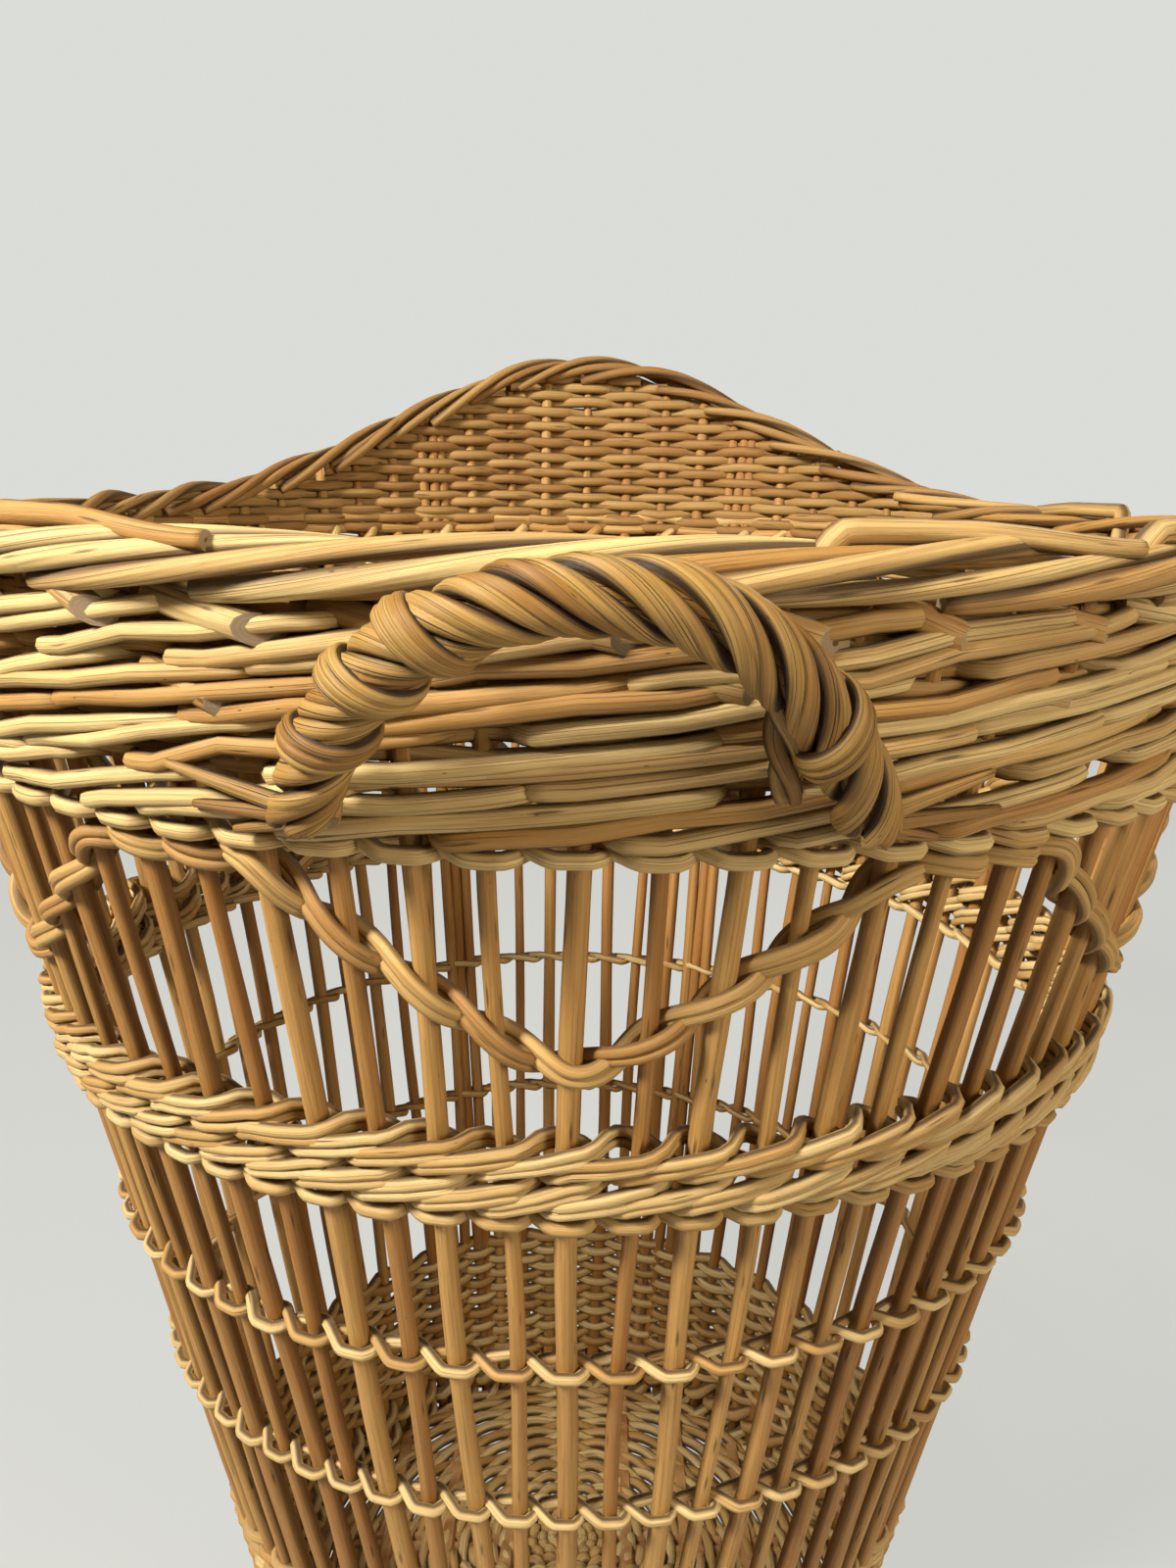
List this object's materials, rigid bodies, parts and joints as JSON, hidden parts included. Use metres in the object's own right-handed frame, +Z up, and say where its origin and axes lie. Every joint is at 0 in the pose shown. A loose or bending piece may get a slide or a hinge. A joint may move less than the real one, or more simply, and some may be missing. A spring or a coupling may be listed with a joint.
{
  "type": "open wicker hamper",
  "caption": "Open oval wicker hamper in peeled willow: tapering openwork wall, woven bands, raised hump at the back and a roped bow handle in front.",
  "frame": {"origin": "on the floor, under the crossing of the plan's widest line and its middle", "axes": "+Z up, +Y to the raised back, +X to the right seen from the front"},
  "size_m": [0.539, 0.5372, 0.6694],
  "materials": {
    "stake_willow": "satin",
    "band_willow": "satin",
    "weave_willow": "satin",
    "handle_willow": "satin"
  },
  "bodies": {
    "root": {"front_stakes": "stake_willow", "right_stakes": "stake_willow", "back_stakes": "stake_willow", "left_stakes": "stake_willow", "left_back_post": "stake_willow", "right_back_post": "stake_willow", "base_short_sticks": "stake_willow", "base_long_sticks": "stake_willow", "upper_siding": "band_willow", "front_border": "band_willow", "hump_border": "band_willow", "base_weave_under": "weave_willow", "base_weave_upper": "weave_willow", "foot_wale": "weave_willow", "lower_siding": "weave_willow", "lower_fitch": "weave_willow", "upper_fitch": "weave_willow", "waist_pairing": "weave_willow", "waist_wale": "weave_willow", "wave_fitch": "weave_willow", "band_pairing": "weave_willow", "hump_siding": "weave_willow", "handle_bow": "handle_willow", "handle_strands": "handle_willow", "handle_tails": "handle_willow"}
  },
  "joints": []
}
